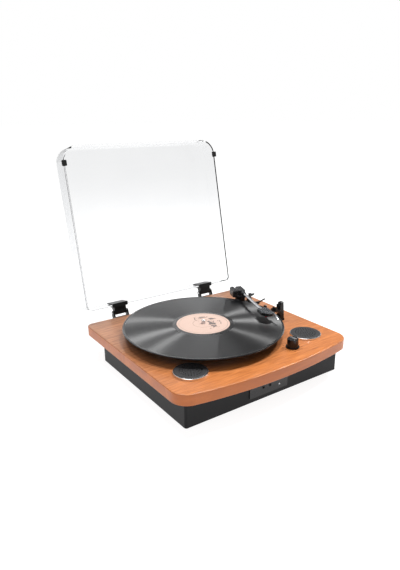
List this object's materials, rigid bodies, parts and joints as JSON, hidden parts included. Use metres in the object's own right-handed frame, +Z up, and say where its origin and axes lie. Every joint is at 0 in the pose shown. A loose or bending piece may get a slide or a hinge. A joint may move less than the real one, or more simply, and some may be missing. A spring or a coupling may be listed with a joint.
{
  "type": "record player",
  "caption": "Belt-drive record player: wooden deck on a black cabinet, twelve-inch record on the platter, raised tonearm, clear hinged lid.",
  "frame": {"origin": "on the surface it stands on, under the middle of the whole object as it stands with its lid open", "axes": "+X to the object's right seen from the front, +Y to its back, +Z up"},
  "size_m": [0.372, 0.4746, 0.4044],
  "materials": {
    "wood": "satin varnish",
    "black_vinyl": "matt black",
    "hardboard": "plain",
    "rubber": "matt",
    "steel": "brushed",
    "chrome": "polished",
    "grille_black": "satin",
    "steel_dark": "satin",
    "cone_paper": "matt",
    "platter_alu": "turned",
    "felt": "felt",
    "vinyl": "grooved gloss",
    "label_paper": "printed, plain",
    "brass": "turned",
    "belt_rubber": "matt",
    "motor_can": "plated",
    "arm_plastic": "satin black",
    "arm_grey": "dark grey satin",
    "arm_metal": "satin",
    "head_plate": "silver grey",
    "stylus_red": "glossy red",
    "knob_black": "satin black",
    "pointer_silver": "satin",
    "panel_black": "gloss black",
    "jack_metal": "plated",
    "led": "clear",
    "board_green": "lacquered",
    "lid_clear": "clear acrylic",
    "hinge_black": "satin black"
  },
  "bodies": {
    "chassis": {"deck": "wood", "base_cabinet": "black_vinyl", "bottom_cover": "hardboard", "feet": "rubber", "case_screws": "steel", "speaker_rings": "chrome", "speaker_grilles": "grille_black", "speaker_frames": "steel_dark", "speaker_cones": "cone_paper", "platter_bearing": "brass", "thrust_cap": "brass", "drive_belt": "belt_rubber", "motor": "motor_can", "motor_plate": "steel", "motor_grommets": "rubber", "motor_screws": "steel", "tonearm_base": "arm_plastic", "lift_bracket": "arm_plastic", "arm_rest": "arm_plastic", "volume_pot": "steel_dark", "switch_bezels": "arm_plastic", "switch_bodies": "steel_dark", "front_panel": "panel_black", "front_jacks": "arm_plastic", "power_led": "led", "main_board": "board_green", "rear_panel": "panel_black", "phono_sockets": "jack_metal", "power_inlet": "arm_plastic", "hinge_brackets": "hinge_black", "hinge_pins": "steel", "hinge_screws": "steel"},
    "platter_assembly": {"platter": "platter_alu", "slip_mat": "felt", "spindle": "steel", "record_disc": "vinyl", "record_label": "label_paper"},
    "motor_rotor": {"motor_pulley": "brass"},
    "arm_swivel": {"arm_yoke": "arm_grey", "gimbal_pin": "steel"},
    "arm": {"arm_housing": "arm_grey", "counterweight": "steel_dark", "arm_tube": "arm_metal", "headshell": "arm_plastic", "headshell_plate": "head_plate", "cartridge": "arm_plastic", "stylus": "stylus_red", "finger_lift": "arm_metal"},
    "lift_plunger": {"lift_platform": "arm_plastic"},
    "cue_handle": {"cue_lever": "arm_plastic"},
    "volume_control": {"volume_knob": "knob_black", "knob_pointer": "pointer_silver", "volume_shaft": "steel"},
    "speed_slider": {"speed_switch": "knob_black"},
    "auto_stop_slider": {"auto_stop_switch": "knob_black"},
    "source_slider": {"source_switch": "knob_black"},
    "lid_assembly": {"lid": "lid_clear", "lid_bumpers": "rubber", "hinge_fork_left": "hinge_black", "hinge_fork_right": "hinge_black"}
  },
  "joints": [
    {"name": "platter_spin", "type": "hinge", "parent": "chassis", "child": "platter_assembly", "pos_m": [-0.0222, -0.0468, 0.08], "axis": [0, 0, -1], "continuous": true},
    {"name": "motor_spin", "type": "hinge", "parent": "chassis", "child": "motor_rotor", "pos_m": [-0.09185, 0.02285, 0.06], "axis": [0, 0, -1], "continuous": true},
    {"name": "arm_swing", "type": "hinge", "parent": "chassis", "child": "arm_swivel", "pos_m": [0.1315, 0.0327, 0.085], "axis": [0, 0, 1], "range_deg": [-25, 20.7]},
    {"name": "arm_lift", "type": "hinge", "parent": "arm_swivel", "child": "arm", "pos_m": [0.1315, 0.0327, 0.0993], "axis": [-0.9336, 0.3584, 0], "range_deg": [-3.65, 0]},
    {"name": "cue_turn", "type": "hinge", "parent": "chassis", "child": "cue_handle", "pos_m": [0.15, 0.0077, 0.0727], "axis": [1, 0, 0], "range_deg": [-50, 0]},
    {"name": "lift_slide", "type": "slide", "parent": "chassis", "child": "lift_plunger", "axis": [0, 0, 1], "range_m": [-0.00195, 0]},
    {"name": "volume_turn", "type": "hinge", "parent": "chassis", "child": "volume_control", "pos_m": [0.07, -0.1893, 0.075], "axis": [0, 0, 1], "range_deg": [-150, 150]},
    {"name": "speed_slide", "type": "slide", "parent": "chassis", "child": "speed_slider", "axis": [0, 1, 0], "range_m": [-0.003, 0.003]},
    {"name": "auto_stop_slide", "type": "slide", "parent": "chassis", "child": "auto_stop_slider", "axis": [0, 1, 0], "range_m": [-0.003, 0.003]},
    {"name": "source_slide", "type": "slide", "parent": "chassis", "child": "source_slider", "axis": [0, 1, 0], "range_m": [-0.003, 0.003]},
    {"name": "lid_hinge", "type": "hinge", "parent": "chassis", "child": "lid_assembly", "pos_m": [0, 0.1309, 0.0743], "axis": [1, 0, 0], "range_deg": [0, 102]}
  ],
  "couplings": [
    {"joint": "motor_spin", "follows": "platter_spin", "ratio": 19.696},
    {"joint": "cue_turn", "follows": "lift_slide", "rad_per_m": 447.5},
    {"joint": "arm_lift", "follows": "lift_slide", "rad_per_m": 32.66}
  ]
}
